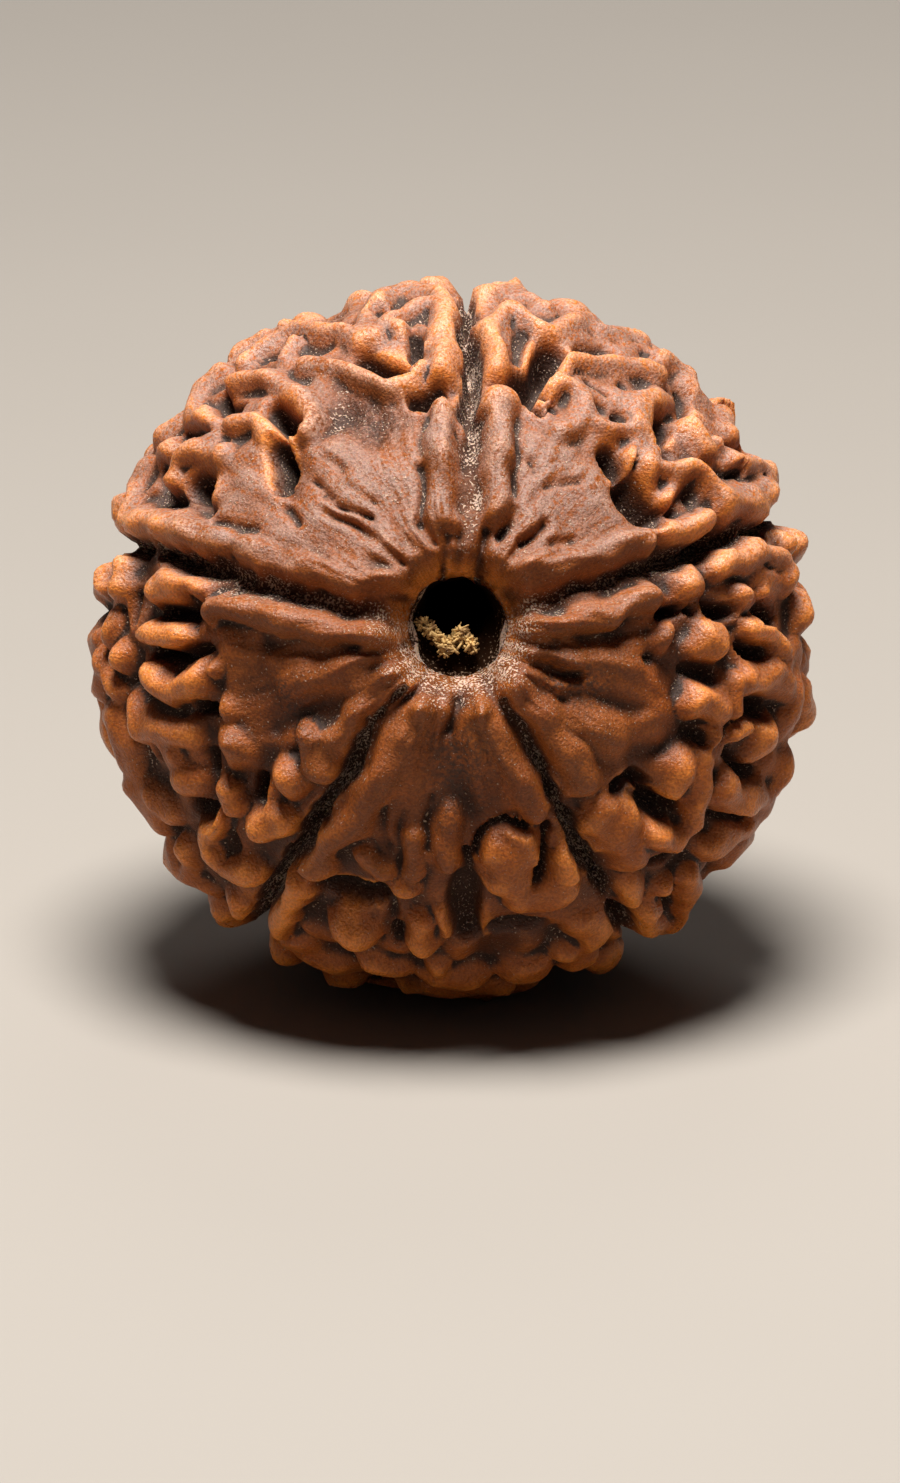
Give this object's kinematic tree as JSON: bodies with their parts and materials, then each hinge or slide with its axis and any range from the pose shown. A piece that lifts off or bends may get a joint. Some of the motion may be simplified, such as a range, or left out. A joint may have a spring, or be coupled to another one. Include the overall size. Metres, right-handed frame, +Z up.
{
  "type": "rudraksha seed",
  "caption": "Round woody seed with deep grooves between knobbly faces and a natural canal through its middle for a cord.",
  "frame": {"origin": "on the resting surface, under the middle of the seed's box", "axes": "+Z up, the seed's front mouth toward -Y and tipped up by 19 degrees, +X to the right as the mouth is looked into"},
  "size_m": [0.0197, 0.0179, 0.0193],
  "materials": {
    "seed_stone": "waxy satin, dusty in the creases"
  },
  "bodies": {
    "root": {"seed": "seed_stone"}
  },
  "joints": []
}
